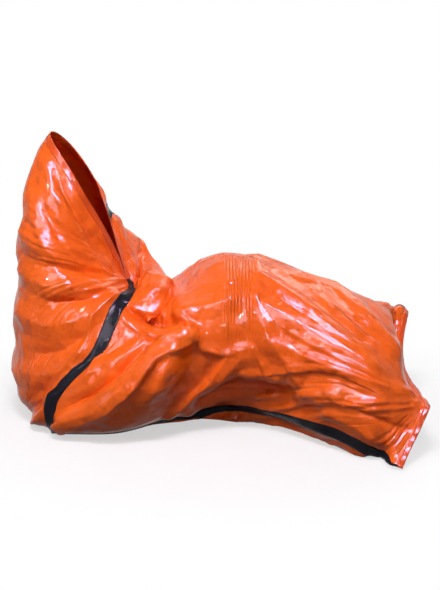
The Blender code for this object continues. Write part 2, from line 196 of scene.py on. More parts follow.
# a smooth curve through values at the knots that never swings past them
def smoothBetween(knots, values, places):
    shape = (-1,) + (1,) * (values.ndim - 1)
    steps = np.diff(knots).reshape(shape)
    slopes = np.diff(values, axis=0) / steps
    left, right = slopes[:-1], slopes[1:]
    weightLeft = 2 * steps[1:] + steps[:-1]
    weightRight = steps[1:] + 2 * steps[:-1]
    sameWay = left * right > 0
    safeLeft = np.where(sameWay, left, 1)
    safeRight = np.where(sameWay, right, 1)
    mean = (weightLeft + weightRight) / (weightLeft / safeLeft + weightRight / safeRight)
    tangents = np.concatenate([slopes[:1], np.where(sameWay, mean, 0), slopes[-1:]])
    span = np.clip(np.searchsorted(knots, places) - 1, 0, len(knots) - 2)
    step = steps[span]
    t = (places - knots[span]).reshape(shape) / step
    return (values[span] * (1 + 2 * t) * (1 - t) ** 2 + values[span + 1] * t * t * (3 - 2 * t)
            + step * (tangents[span] * t * (1 - t) ** 2 + tangents[span + 1] * t * t * (t - 1)))


def lengthsAlong(line):
    return np.concatenate([[0], np.cumsum(np.linalg.norm(np.diff(line, axis=0), axis=1))])


def interpolated(wanted, lengths, vectors):
    return np.stack([np.interp(wanted, lengths, vectors[:, k]) for k in range(3)], axis=-1)


def evenly(line, count):
    lengths = lengthsAlong(line)
    return interpolated(np.linspace(0, lengths[-1], count), lengths, line)


def keepAbove(points, lowest):
    points[..., 2] = np.maximum(points[..., 2], lowest)


def stationRing(station):
    near, far = (radians(angle) for angle in station["seams"])
    samples = bagForm["curveSamples"]
    front = sectionPoints(station, np.linspace(near, far, samples))
    back = sectionPoints(station, np.linspace(far, near + 2 * pi, samples))
    keepAbove(front, bagForm["lowest"])
    keepAbove(back, bagForm["lowest"])
    front, back = evenly(front, farSeam + 1), evenly(back, bagForm["backColumns"] + 1)
    return np.concatenate([front[:-1], back[:-1]])


def footRing(fromEnd):
    corners = np.array(bagForm["footLine"])
    knots = lengthsAlong(corners)
    curve = smoothBetween(knots, corners, np.linspace(0, knots[-1], bagForm["curveSamples"]))
    halves = []
    for count, side in ((farSeam, 1), (bagForm["backColumns"], -1)):
        line = evenly(curve, count + 1)
        across = unit(np.gradient(line, axis=0))
        up = unit(np.cross(np.array(bagForm["footDirection"]), across))
        onward = unit(np.cross(across, up))
        opened = up * side * bagForm["footOpening"] / 2
        opened[[0, -1]] = 0
        halves.append(line - onward * fromEnd + opened)
    return np.concatenate([halves[0][:-1], halves[1][::-1][:-1]])


# the tube as a grid: rows from the mouth to the foot, columns from the near seam over the front
def tubeGrid():
    rings = [stationRing(station) for station in bagForm["stations"]]
    rings = np.array(rings + [footRing(bagForm["footLip"]), footRing(0)])
    spacing = np.linalg.norm(np.diff(rings, axis=0), axis=2).mean(axis=1)
    knots = np.concatenate([[0], np.cumsum(spacing)])
    return smoothBetween(knots, rings, np.linspace(0, knots[-1], bagForm["rows"]))


def outwardOf(grid):
    around = np.roll(grid, -1, axis=1) - np.roll(grid, 1, axis=1)
    return unit(np.cross(np.gradient(grid, axis=0), around))


# The main folds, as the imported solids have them: height and reach in metres, whether the other
# side has a twin, and places in metres that are moved to the nearest place on the film.
mainFolds = dict(
    hoodRidge=(0.011, 0.038, True, [
        (-0.107, -0.058, 0.700), (-0.071, -0.129, 0.609),
        (-0.012, -0.142, 0.517), (0.071, -0.109, 0.388)]),
    shoulderFold=(0.013, 0.042, True, [
        (-0.154, -0.148, 0.510), (-0.071, -0.213, 0.487),
        (-0.012, -0.167, 0.472), (0.071, -0.077, 0.411)]),
    armFold=(0.014, 0.042, True, [
        (-0.154, -0.180, 0.411), (-0.059, -0.232, 0.388),
        (0.036, -0.213, 0.388), (0.095, -0.077, 0.358)]),
    elbowFold=(0.014, 0.044, True, [
        (-0.154, -0.193, 0.289), (-0.047, -0.258, 0.282),
        (0.036, -0.251, 0.297), (0.130, -0.167, 0.350)]),
    backFold=(0.012, 0.044, False, [
        (-0.201, 0.161, 0.403), (-0.213, 0.058, 0.373),
        (-0.213, -0.058, 0.327), (-0.166, -0.167, 0.244)]),
    backHoodFold=(0.012, 0.044, False, [
        (-0.189, 0.129, 0.571), (-0.189, 0.032, 0.533),
        (-0.189, -0.071, 0.502), (-0.166, -0.142, 0.441)]),
    backLowFold=(0.012, 0.044, False, [
        (-0.201, 0.193, 0.221), (-0.213, 0.077, 0.198),
        (-0.213, -0.058, 0.152), (-0.166, -0.193, 0.122)]),
    lowerFold=(0.013, 0.042, True, [
        (-0.154, -0.232, 0.129), (-0.059, -0.290, 0.152),
        (0.000, -0.303, 0.167), (0.059, -0.290, 0.221)]),
    forearmRoll=(0.014, 0.040, False, [
        (0.154, -0.013, 0.350), (0.166, -0.071, 0.358), (0.178, -0.142, 0.342)]),
    waistFold=(0.013, 0.040, True, [
        (0.308, -0.219, 0.327), (0.367, -0.200, 0.358), (0.438, -0.180, 0.373)]),
    hipFold=(0.015, 0.046, True, [
        (0.343, -0.258, 0.289), (0.272, -0.309, 0.251), (0.213, -0.361, 0.183),
        (0.142, -0.367, 0.107), (0.036, -0.367, 0.061)]),
    drapeFold=(0.015, 0.046, True, [
        (0.485, -0.219, 0.228), (0.414, -0.219, 0.137), (0.343, -0.213, 0.061)]),
    wallFold=(0.013, 0.040, True, [
        (0.485, -0.219, 0.183), (0.533, -0.213, 0.137),
        (0.568, -0.219, 0.160), (0.604, -0.232, 0.198)]),
    footWallFold=(0.013, 0.040, True, [
        (0.616, -0.232, 0.190), (0.639, -0.232, 0.137),
        (0.675, -0.251, 0.152), (0.734, -0.270, 0.167)]),
    kneeLine=(0.012, 0.040, False, [
        (0.474, -0.013, 0.434), (0.509, -0.161, 0.373),
        (0.556, -0.219, 0.282), (0.628, -0.238, 0.213)]),
    shinRidge=(0.013, 0.044, False, [
        (0.592, 0.013, 0.388), (0.675, 0.058, 0.358),
        (0.770, -0.032, 0.320), (0.864, -0.103, 0.251)]),
    longFold=(0.012, 0.038, True, [
        (0.533, -0.167, 0.358), (0.675, -0.200, 0.297), (0.829, -0.232, 0.244)]),
    longUpperFold=(0.012, 0.038, True, [
        (0.497, -0.077, 0.411), (0.651, -0.142, 0.350), (0.805, -0.193, 0.266)]),
    flapFold=(0.011, 0.036, False, [
        (0.734, -0.258, 0.107), (0.805, -0.290, 0.091),
        (0.864, -0.277, 0.061), (0.924, -0.290, 0.038)]),
)
foldFade = 0.045              # over this much the folds rise beside seams, ground and ends
hemRoom = 0.018               # the mouth's hem stays free of them


def nearestOn(film, places):
    return film[[np.linalg.norm(film - np.array(place), axis=1).argmin() for place in places]]


# how far each point lies from a route of straight runs
def awayFrom(points, route):
    nearest = np.full(points.shape[:-1], np.inf)
    for start, end in zip(route[:-1], route[1:]):
        run = end - start
        share = np.clip((points - start) @ run / max(run @ run, 1e-12), 0, 1)
        away = np.linalg.norm(points - start - share[..., None] * run, axis=-1)
        nearest = np.minimum(nearest, away)
    return nearest


def layMainFolds(grid):
    film = grid.reshape(-1, 3)
    rise = np.zeros(grid.shape[:2])
    for height, reach, twin, places in mainFolds.values():
        routes = [nearestOn(film, places)]
        if twin:
            other = np.array(places) * (1, -1, 1)
            other[:, 0] -= 2 * bagForm["legSkew"] * skewShare(other[:, 0]) * other[:, 1]
            routes.append(nearestOn(film, other))
        for route in routes:
            across = np.clip(1 - awayFrom(grid, route) / reach, 0, 1)
            rise = np.maximum(rise, height * across)
    for seam in (0, farSeam):
        rise *= eased(np.linalg.norm(grid - grid[:, seam:seam + 1], axis=2) / foldFade)
    rise *= eased((grid[..., 2] - bagForm["lowest"]) / foldFade)
    for end, free in ((0, hemRoom), (-1, 0)):
        rise *= eased((np.linalg.norm(grid - grid[end], axis=2) - free) / foldFade)
    return rise


# Smaller folds, by where they show: film, height and half width in metres, where the crest lies
# across the width (0 in the middle, nearer 1 for a steep far side, None for a rounded rise), the
# share of the height at each end, and points of the picture. A valley has a height below zero.
smallFolds = dict(
    hoodEdgeValley=("back", -0.008, 0.020, 0.2, 0.3, 0.6, [
        (56, 160), (62, 190), (80, 222), (110, 270)]),
    hoodSecondValley=("back", -0.008, 0.024, 0.3, 0.0, 0.7, [
        (40, 172), (46, 205), (62, 240), (98, 280)]),
    hoodOuterRidge=("back", 0.008, 0.026, 0.5, 0.0, 0.3, [
        (34, 180), (36, 215), (48, 246), (74, 270)]),
    shoulderValley=("back", -0.011, 0.022, 0.0, 0.1, 0.5, [
        (28, 250), (46, 264), (74, 270), (110, 275)]),
    armValley=("back", -0.013, 0.022, 0.0, 0.0, 0.8, [(28, 292), (56, 303), (84, 300), (122, 290)]),
    clampFold=("back", 0.009, 0.014, 0.3, 0.1, 0.8, [(70, 292), (92, 290), (124, 287)]),
    clampSecondFold=("back", 0.008, 0.014, 0.3, 0.1, 0.8, [(72, 258), (96, 268), (122, 281)]),
    columnFold=("back", 0.011, 0.026, 0.3, 0.7, 0.1, [(114, 300), (96, 318), (90, 340), (74, 368)]),
    lowerValley=("back", -0.010, 0.030, 0.0, 0.1, 0.3, [
        (18, 345), (40, 354), (64, 350), (92, 332)]),
    seatFold=("back", 0.010, 0.024, 0.4, 0.1, 0.1, [(20, 396), (36, 398), (52, 392), (66, 382)]),
    lapelRidge=("front", 0.011, 0.016, 0.3, 0.2, 0.9, [(124, 232), (130, 262), (134, 288)]),
    lapelValley=("front", -0.009, 0.013, 0.0, 0.1, 0.9, [(132, 244), (138, 268), (137, 290)]),
    armCrinkle=("front", 0.008, 0.013, 0.2, 0.3, 0.2, [(141, 250), (147, 268), (148, 286)]),
    forearmBulge=("front", 0.030, 0.066, None, 0.6, 0.6, [(142, 276), (156, 290), (174, 304)]),
    forearmFold=("front", 0.010, 0.020, 0.4, 0.7, 0.4, [
        (132, 290), (148, 284), (166, 284), (180, 298)]),
    forearmValley=("front", -0.032, 0.020, -0.5, 0.5, 0.8, [
        (124, 306), (132, 315), (150, 321), (181, 325)]),
    forearmTip=("front", -0.014, 0.013, 0.0, 0.2, 0.4, [(180, 312), (188, 317), (197, 321)]),
    waistCrease=("front", 0.014, 0.022, 0.5, 0.4, 0.2, [
        (126, 318), (140, 329), (162, 336), (192, 334)]),
    hipOverlap=("front", 0.026, 0.036, -0.8, 0.4, 0.5, [
        (186, 334), (152, 352), (126, 384), (99, 405), (62, 421)]),
    hipUnderlap=("front", -0.028, 0.022, 0.0, 0.3, 0.4, [
        (176, 328), (144, 344), (116, 374), (92, 394), (60, 411)]),
    hipUpperFold=("front", 0.011, 0.022, 0.4, 0.6, 0.1, [
        (120, 316), (110, 342), (94, 370), (72, 398)]),
    lapFold=("front", 0.014, 0.024, 0.5, 0.5, 0.1, [
        (186, 330), (204, 346), (222, 350), (244, 346)]),
    drapeEdge=("front", 0.018, 0.036, 0.8, 0.2, 0.9, [
        (240, 358), (216, 386), (192, 410), (168, 430)]),
    kneeRecess=("front", -0.058, 0.060, None, 0.5, 0.3, [
        (206, 406), (236, 394), (268, 397), (302, 408)]),
    recessFold=("front", 0.010, 0.018, 0.4, 0.1, 0.1, [(236, 408), (262, 402), (290, 398)]),
    wallFlute=("front", 0.008, 0.018, 0.6, 0.2, 0.3, [(258, 350), (266, 366), (272, 384)]),
    wallFluteSecond=("front", 0.008, 0.018, 0.6, 0.2, 0.2, [(290, 362), (300, 378), (306, 394)]),
    wallScallopThird=("front", 0.010, 0.020, 0.5, 0.2, 0.2, [
        (330, 390), (344, 402), (364, 402), (384, 398)]),
    tautFold=("front", 0.006, 0.011, 0.2, 0.1, 0.7, [(330, 398), (372, 402), (420, 401)]),
    tautFoldSecond=("front", 0.006, 0.011, 0.2, 0.1, 0.7, [(320, 408), (366, 410), (418, 406)]),
    longRidgeLower=("front", 0.010, 0.018, -0.2, 0.2, 0.6, [
        (268, 340), (320, 364), (374, 384), (424, 398)]),
    longRidgeMiddle=("front", 0.007, 0.012, 0.2, 0.2, 0.6, [
        (272, 322), (320, 348), (372, 374), (424, 397)]),
    footFlapValley=("front", -0.009, 0.017, 0.0, 0.1, 0.6, [
        (336, 402), (364, 414), (390, 424), (410, 430)]),
)
pixelsPerMetre = 360          # in the picture, about the bag's middle
seenFrom, seenFully = 0.02, 0.27    # how far a place has to face the camera to take such a fold
foldSharpness = 0.65          # 0 for straight sides, 1 for sides that steepen to the crest


# how far each picture point lies from a line: signed distance and place along it
def besideLine(pixels, line):
    line = np.array(line, float)
    lengths = lengthsAlong(line)
    best = np.full(len(pixels), 1e9)
    signed, place = np.zeros((2, len(pixels)))
    for start, end, begun in zip(line[:-1], line[1:], lengths):
        run = end - start
        length = np.linalg.norm(run)
        t = np.clip((pixels - start) @ run / length ** 2, 0, 1)
        off = pixels - start - t[:, None] * run
        gap = np.linalg.norm(off, axis=1)
        closer = gap < best
        side = np.sign(run[0] * off[:, 1] - run[1] * off[:, 0])
        best = np.where(closer, gap, best)
        signed = np.where(closer, gap * side, signed)
        place = np.where(closer, (begun + t * length) / lengths[-1], place)
    return signed, place


# a fold's height across its width, from -1 to 1: 1 at the crest and 0 at both edges
def foldShape(share, crest):
    if crest is None:
        return eased(1 - np.abs(share))
    before = (1 + share) / (1 + crest)
    after = (1 - share) / (1 - crest)
    rise = np.clip(np.minimum(before, after), 0, 1)
    return (1 - foldSharpness) * rise + foldSharpness * rise * rise


def laySmallFolds(grid, outward, view):
    rows, columns = grid.shape[:2]
    points = grid.reshape(-1, 3)
    facing = outward.reshape(-1, 3)
    pixels = toPixels(points, view)
    turned = np.sum(unit(eyeOf(view) - points) * facing, axis=1)
    seen = eased((turned - seenFrom) / (seenFully - seenFrom))
    onFront = np.tile(np.arange(columns) < farSeam, rows)
    rise = np.zeros(len(points))
    for film, height, width, crest, startShare, endShare, line in smallFolds.values():
        reach = width * pixelsPerMetre
        line = np.array(line, float)
        low, high = line.min(0) - reach, line.max(0) + reach
        near = ((pixels > low) & (pixels < high)).all(1) & (seen > 0)
        index = np.nonzero(near & (onFront == (film == "front")))[0]
        signed, place = besideLine(pixels[index], line)
        ends = np.where(place < 0.5, startShare + (1 - startShare) * eased(place * 2),
                        endShare + (1 - endShare) * eased(2 - place * 2))
        rise[index] += height * foldShape(signed / reach, crest) * ends * seen[index]
    return rise.reshape(rows, columns)


# Creased film: flat facets with sharp creases between them. Each layer is a net of triangles
# between places at random heights, read off at the film's own lengths.
netJitter = 0.36              # how far a net's corner moves, as a share of a cell


def facetNet(size, seed):
    picks = np.random.default_rng(seed)
    x, y = np.meshgrid(np.arange(size + 1.0), np.arange(size + 1.0), indexing="ij")
    x += picks.uniform(-netJitter, netJitter, x.shape)
    y += picks.uniform(-netJitter, netJitter, y.shape)
    corners = np.stack([x, y, picks.uniform(-1, 1, x.shape)], axis=-1).reshape(-1, 3)
    turned = picks.random((size, size)) < 0.5
    faces = []
    for i in range(size):
        for j in range(size):
            a = i * (size + 1) + j
            b, c, d = a + 1, a + size + 2, a + size + 1
            faces += [(a, b, c), (a, c, d)] if turned[i, j] else [(a, b, d), (b, c, d)]
    return BVHTree.FromPolygons([tuple(p) for p in corners], faces, all_triangles=True)


# the net's height at each place, which repeats beyond the net's edge
def facetRises(net, size, across, along):
    down = Vector((0, 0, -1))
    x = 1 + np.mod(across, size - 2)
    y = 1 + np.mod(along, size - 2)
    rises = []
    for p, q in zip(x, y):
        hit = net.ray_cast(Vector((p, q, 4)), down)[0]
        rises.append(hit.z if hit else 0)
    return np.array(rises)


# facets that run away from the places where the film is held: how many degrees and what share of
# the distance a facet takes, its slope, how far the place holds the film, the distance to which
# the facets grow, and the range of x that belongs to it
pulls = dict(
    throat=dict(
        place=(0.100, -0.030, 0.352), degrees=(13, 6), lengths=(0.70, 0.40), slopes=(0.26, 0.20),
        reach=0.36, grows=0.24, span=(-0.30, 0.22), seed=1),
    nearFootCorner=dict(
        place=(0.985, -0.235, 0.130), degrees=(8, 3.5), lengths=(0.80, 0.45), slopes=(0.26, 0.22),
        reach=0.55, grows=0.45, span=(0.34, 1.10), seed=3),
    farFootCorner=dict(
        place=(0.880, 0.260, 0.240), degrees=(10, 4), lengths=(0.70, 0.40), slopes=(0.22, 0.18),
        reach=0.42, grows=0.45, span=(0.34, 1.10), seed=5),
    seat=dict(
        place=(-0.130, -0.290, 0.030), degrees=(18, 9), lengths=(0.60, 0.36), slopes=(0.15, 0.11),
        reach=0.20, grows=0.30, span=(-0.30, 0.30), seed=7),
)
spanFade = 0.12               # a pull fades in over this much of x at both ends of its span
nearestPull = 0.02            # metres added to each distance, as its logarithm is taken
leastPull = 0.01              # below this share a pull isn't laid
pullShift = (20, 30)          # where in its net a pull starts, in cells
crumple = dict(
    sizes=(0.120, 0.050, 0.022),    # of the facets in each layer, in metres
    slopes=(0.10, 0.13, 0.07),
    stretch=1.8,              # how much longer the facets are along the bag than round it
    shift=0.37,               # of a cell
    driftScale=5.0,           # slow noise that bends the rows of facets
    drift=0.02,               # metres
    pullDrift=4,              # degrees
    patchScale=7.5,           # patches of slack film between taut ones
    patchPlace=(3, 1, 4),
    patchFrom=-0.18,
    patchTo=0.18,
    tautShare=0.25,           # how much of the crumple is left where the film is taut
    heldShare=0.45,           # and how much of the facets along the pulls
    pulledShare=0.35,         # how much of the loose facets is left where the film is pulled
    cells=60,                 # along each side of a net
    seed=4,
    netSeed=20,
)
streaks = dict(
    degrees=3.4,              # across one streak
    length=0.95,              # as a share of the distance from the pull
    slope=0.55,
    grows=0.40,               # metres from the pull
    separate=0.12,            # they fade where two pulls are equally strong
    fullPull=0.5,             # and where the strongest pull is below this
    apart=9.0,                # keeps the pulls' streaks different
    tautShare=0.3,
)
# across, down and fade are pixels of the picture, height and pitch are metres
pleats = dict(across=(220, 256), down=(262, 348), fade=9, height=0.0011, pitch=0.0086)


# Each point's length along the bag, half its own column's and half the row's mean, and its
# length round the bag from the near seam, which is negative on the back film.
def filmLengths(grid):
    along = np.concatenate([np.zeros((1, grid.shape[1])),
                            np.cumsum(np.linalg.norm(np.diff(grid, axis=0), axis=2), axis=0)])
    along = np.repeat(along.mean(axis=1)[:, None], grid.shape[1], axis=1) * 0.5 + along * 0.5
    steps = np.linalg.norm(np.roll(grid, -1, axis=1) - grid, axis=2)
    around = np.concatenate([np.zeros((len(grid), 1)), np.cumsum(steps, axis=1)[:, :-1]], axis=1)
    around[:, farSeam + 1:] -= steps.sum(axis=1)[:, None]
    return along, around


# the loose film's facets, and how slack the film is
def looseFilm(points, u, v, drift):
    cells, stretch = crumple["cells"], crumple["stretch"]
    loose = np.zeros(len(u))
    for k, (size, slope) in enumerate(zip(crumple["sizes"], crumple["slopes"])):
        net = facetNet(cells, crumple["netSeed"] + k)
        across = (v + drift[:, 0] * crumple["drift"]) / size
        along = (u + drift[:, 1] * crumple["drift"]) / size / stretch + crumple["shift"]
        loose += facetRises(net, cells, across, along) * slope * size * 0.5
    place = Vector(crumple["patchPlace"])
    patches = np.array([noise.noise(Vector(p) * crumple["patchScale"] + place) for p in points])
    share = eased((patches - crumple["patchFrom"]) / (crumple["patchTo"] - crumple["patchFrom"]))
    slack = crumple["tautShare"] + (1 - crumple["tautShare"]) * share
    return loose * slack, slack


# the facets along the pulls, how firmly each place is held, and the streaks' places and heights
def pulledFilm(points, u, v, drift):
    count, cells = len(u), crumple["cells"]
    held, weights, second, reliefs = np.zeros((4, count))
    strongest = np.full(count, 1e-6)
    places = np.zeros((count, 3))
    for number, pull in enumerate(pulls.values()):
        centre = np.linalg.norm(points - np.array(pull["place"]), axis=1).argmin()
        du, dv = u - u[centre], v - v[centre]
        distance = np.hypot(du, dv) + nearestPull
        angle = np.degrees(np.arctan2(dv, du)) + drift[:, 2] * crumple["pullDrift"]
        low, high = pull["span"]
        weight = eased((points[:, 0] - low) / spanFade) * eased((high - points[:, 0]) / spanFade)
        weight *= np.exp(-(distance / pull["reach"]) ** 2)
        index = np.nonzero(weight > leastPull)[0]
        grown = np.minimum(distance[index], pull["grows"])
        total = np.zeros(len(index))
        layers = zip(pull["degrees"], pull["lengths"], pull["slopes"])
        for k, (degrees, length, slope) in enumerate(layers):
            net = facetNet(cells, pull["seed"] + k)
            across = angle[index] / degrees + pullShift[0]
            along = np.log(distance[index]) / length + pullShift[1]
            total += facetRises(net, cells, across, along) * slope * grown * radians(degrees)
        held[index] += total * weight[index]
        weights[index] += weight[index]
        nearer = weight > strongest
        second = np.where(nearer, strongest, np.maximum(second, weight))
        strongest = np.where(nearer, weight, strongest)
        place = np.stack([angle / streaks["degrees"], np.log(distance) / streaks["length"],
                          np.full(count, number * streaks["apart"])], axis=-1)
        places = np.where(nearer[:, None], place, places)
        wide = np.minimum(distance, streaks["grows"]) * radians(streaks["degrees"])
        reliefs = np.where(nearer, wide * streaks["slope"], reliefs)
    reliefs *= eased((strongest - second) / streaks["separate"])
    reliefs *= eased(strongest / streaks["fullPull"])
    return held / np.maximum(weights, 1), np.clip(weights, 0, 1), places, reliefs


# where the knee's fine pleats show in the picture
def pleatShare(points):
    x, y = toPixels(points, photoView).T
    (left, right), (top, bottom), fade = pleats["across"], pleats["down"], pleats["fade"]
    return (eased((x - left) / fade) * eased((right - x) / fade)
            * eased((y - top) / fade + 1) * eased((bottom - y) / fade / 2))


def crumpleOf(grid):
    along, around = filmLengths(grid)
    points = grid.reshape(-1, 3)
    u, v = along.ravel(), around.ravel()
    noise.seed_set(crumple["seed"])  # without a seed the film would differ on each run
    drift = np.array([noise.noise_vector(Vector(p) * crumple["driftScale"]) for p in points])
    loose, slack = looseFilm(points, u, v, drift)
    held, share, places, reliefs = pulledFilm(points, u, v, drift)
    print("facets laid")
    least, left = crumple["heldShare"], crumple["pulledShare"]
    rise = held * (least + (1 - least) * slack) + loose * (1 - (1 - left) * share)
    reliefs *= streaks["tautShare"] + (1 - streaks["tautShare"]) * slack
    details = dict(pullPlace=places, pullRelief=reliefs, slack=slack, gathered=pleatShare(points))
    return rise.reshape(along.shape), around, details


def gridFaces(rows, columns, closed=True):
    turns = columns if closed else columns - 1
    faces = []
    for row in range(rows - 1):
        for column in range(turns):
            following = (column + 1) % columns
            faces.append((row * columns + column, row * columns + following,
                          (row + 1) * columns + following, (row + 1) * columns + column))
    return faces


def addMesh(name, points, faces):
    mesh = bpy.data.meshes.new(name)
    mesh.from_pydata([tuple(p) for p in points], [], faces)
    mesh.shade_smooth()
    mesh.update()
    obj = bpy.data.objects.new(name, mesh)
    bpy.context.scene.collection.objects.link(obj)
    return obj


# the rounded rise of the film at the far foot corner, in metres
farCorner = dict(place=(0.800, 0.215, 0.245), reach=0.085, rise=(0.012, 0.004, 0.034))


def liftCorner(grid):
    away = np.linalg.norm(grid - np.array(farCorner["place"]), axis=2)
    return grid + eased(1 - away / farCorner["reach"])[..., None] * np.array(farCorner["rise"])


edgeCalm = dict(
    share=0.15,               # how much of the small folds and facets is left on the seams
    start=0.012,              # metres from the seam
    stop=0.042,
    mouthRows=6,
    footRows=10,
)


def shapedFilm():
    grid = liftCorner(tubeGrid())
    main = layMainFolds(grid)
    outward = outwardOf(grid)
    small = laySmallFolds(grid, outward, photoView)
    print("folds laid")
    facets, around, details = crumpleOf(grid)
    # the film lies smooth beside its seams and at its ends
    besideFar = np.linalg.norm(grid - grid[:, farSeam:farSeam + 1], axis=2)
    besideSeam = np.minimum(np.abs(around), besideFar)
    start, stop, least = edgeCalm["start"], edgeCalm["stop"], edgeCalm["share"]
    calm = least + (1 - least) * eased((besideSeam - start) / (stop - start))
    count = np.arange(len(grid))
    ends = eased(count / edgeCalm["mouthRows"]) * eased(count[::-1] / edgeCalm["footRows"])
    rise = main + (small + facets) * calm * ends[:, None]
    grid = grid + outward * rise[..., None]
    keepAbove(grid, bagForm["lowest"])
    details["pullRelief"] *= calm.ravel()
    details["slack"] *= calm.ravel()
    return grid, {key: values.reshape(*calm.shape, -1) for key, values in details.items()}


filmGrid, filmDetails = shapedFilm()
filmOutward = outwardOf(filmGrid)
print("film shaped:", filmGrid.shape)


# materials
def newMaterial(name, values):
    material = bpy.data.materials.new(name)
    material.use_nodes = True
    shader = material.node_tree.nodes["Principled BSDF"]
    shader.inputs["Base Color"].default_value = (*values["colour"], 1)
    sockets = {"roughness": "Roughness", "ior": "IOR", "specular": "Specular IOR Level",
               "coat": "Coat Weight", "coatRoughness": "Coat Roughness"}
    for key, socket in sockets.items():
        if key in values:
            shader.inputs[socket].default_value = values[key]
    return material, shader


def addNode(tree, kind, **settings):
    node = tree.nodes.new("ShaderNode" + kind)
    for name, value in settings.items():
        if hasattr(node, name):
            setattr(node, name, value)
        else:
            node.inputs[name.replace("_", " ")].default_value = value
    return node


# a node with its inputs set in order, each one a number, a vector or another node's output
def nodeOf(tree, kind, operation, *values):
    node = addNode(tree, kind, operation=operation)
    for socket, value in zip(node.inputs, values):
        if isinstance(value, bpy.types.NodeSocket):
            tree.links.new(value, socket)
        else:
            socket.default_value = value
    return node


def mathOf(tree, operation, *values):
    return nodeOf(tree, "Math", operation, *values).outputs[0]


def vectorOf(tree, operation, *values):
    return nodeOf(tree, "VectorMath", operation, *values)


def noiseOf(tree, vector, **settings):
    node = addNode(tree, "TexNoise", **settings)
    tree.links.new(vector, node.inputs["Vector"])
    return node.outputs["Fac"]


def attributeOf(tree, name, output):
    return addNode(tree, "Attribute", attribute_name=name).outputs[output]


filmFinish = dict(
    colour=(0.87, 0.124, 0.008),
    deepColour=(0.80, 0.102, 0.005),
    paleColour=(0.90, 0.138, 0.010),
    patchScale=5.0,           # patches of deeper and paler colour
    patchDetail=5.0,
    patchRoughness=0.6,
    patchPlaces=(0.30, 0.48, 0.72),
    roughness=0.24,
    specular=0.05,
    ior=1.50,
    coat=0.14,
    coatRoughness=0.035,
    facetScales=(36.0, 95.0),
    facetTilts=(0.20, 0.18),
    streakDetail=3.5,
    creaseScale=19.0,
    creaseHeight=0.0100,
    creaseDetail=3.5,
    ridgeRoughness=0.5,       # of the streaks and creases
    crinkleScale=260.0,
    crinkleDetail=3.0,
    crinkleDepth=0.00008,
)


# small flat facets: every cell of the pattern tilts its own way
def addFacets(tree, place, values):
    total = 0.0
    for scale, tilt in zip(values["facetScales"], values["facetTilts"]):
        cells = addNode(tree, "TexVoronoi", Scale=scale, Randomness=1.0)
        tree.links.new(place, cells.inputs["Vector"])
        away = vectorOf(tree, "SUBTRACT", place, cells.outputs["Position"]).outputs["Vector"]
        lean = vectorOf(tree, "SUBTRACT", cells.outputs["Color"], (0.5, 0.5, 0.5)).outputs["Vector"]
        slope = vectorOf(tree, "DOT_PRODUCT", away, lean).outputs["Value"]
        total = mathOf(tree, "MULTIPLY_ADD", slope, tilt, total)
    return total


# ridged streaks along the pull, ridged creases where the film is slack, and the knee's pleats
def addRelief(tree, place, values, total):
    def ridged(vector, scale, detail):
        return noiseOf(tree, vector, noise_type="RIDGED_MULTIFRACTAL", normalize=True,
                       Scale=scale, Detail=detail, Roughness=values["ridgeRoughness"])

    streak = ridged(attributeOf(tree, "pullPlace", "Vector"), 1.0, values["streakDetail"])
    streak = mathOf(tree, "MULTIPLY", streak, attributeOf(tree, "pullRelief", "Fac"))
    total = mathOf(tree, "ADD", total, streak)
    crease = ridged(place, values["creaseScale"], values["creaseDetail"])
    crease = mathOf(tree, "MULTIPLY", crease, attributeOf(tree, "slack", "Fac"))
    total = mathOf(tree, "ADD", total, mathOf(tree, "MULTIPLY", crease, values["creaseHeight"]))
    across = viewAxes(photoView)[0] * 2 * pi / pleats["pitch"]
    wave = mathOf(tree, "SINE", vectorOf(tree, "DOT_PRODUCT", place, across).outputs["Value"])
    wave = mathOf(tree, "MULTIPLY", wave, attributeOf(tree, "gathered", "Fac"))
    return mathOf(tree, "ADD", total, mathOf(tree, "MULTIPLY", wave, pleats["height"]))


def filmMaterial(name, values):
    material, shader = newMaterial(name, values)
    tree = material.node_tree
    place = addNode(tree, "TexCoord").outputs["Object"]
    patches = noiseOf(tree, place, Scale=values["patchScale"], Detail=values["patchDetail"],
                      Roughness=values["patchRoughness"])
    ramp = addNode(tree, "ValToRGB")
    elements = ramp.color_ramp.elements
    first, middle, last = values["patchPlaces"]
    elements[0].position, elements[1].position = first, last
    elements.new(middle)
    for element, key in zip(elements, ("deepColour", "colour", "paleColour")):
        element.color = (*values[key], 1)
    tree.links.new(patches, ramp.inputs["Fac"])
    tree.links.new(ramp.outputs["Color"], shader.inputs["Base Color"])
    total = addRelief(tree, place, values, addFacets(tree, place, values))
    crinkles = noiseOf(tree, place, Scale=values["crinkleScale"], Detail=values["crinkleDetail"])
    height = mathOf(tree, "MULTIPLY_ADD", crinkles, values["crinkleDepth"], total)
    bump = addNode(tree, "Bump", Strength=1.0, Distance=1.0)
    tree.links.new(height, bump.inputs["Height"])
    tree.links.new(bump.outputs["Normal"], shader.inputs["Normal"])
    return material


orangeFilm = filmMaterial("orangeFilm", filmFinish)
doubledFilm = filmMaterial("doubledFilm", dict(
    filmFinish, colour=(0.70, 0.082, 0.010), deepColour=(0.52, 0.050, 0.005),
    paleColour=(0.80, 0.110, 0.016)))
blackBand = filmMaterial("blackBand", dict(
    filmFinish, colour=(0.012, 0.012, 0.018), deepColour=(0.006, 0.006, 0.009),
    paleColour=(0.020, 0.021, 0.032), roughness=0.18, specular=0.03, coat=0.03, coatRoughness=0.05,
    facetTilts=(0.12, 0.10)))


# pieces
def finished(obj, material, node):
    obj.data.materials.append(material)
    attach(obj, "root")
    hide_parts(node)
    return obj


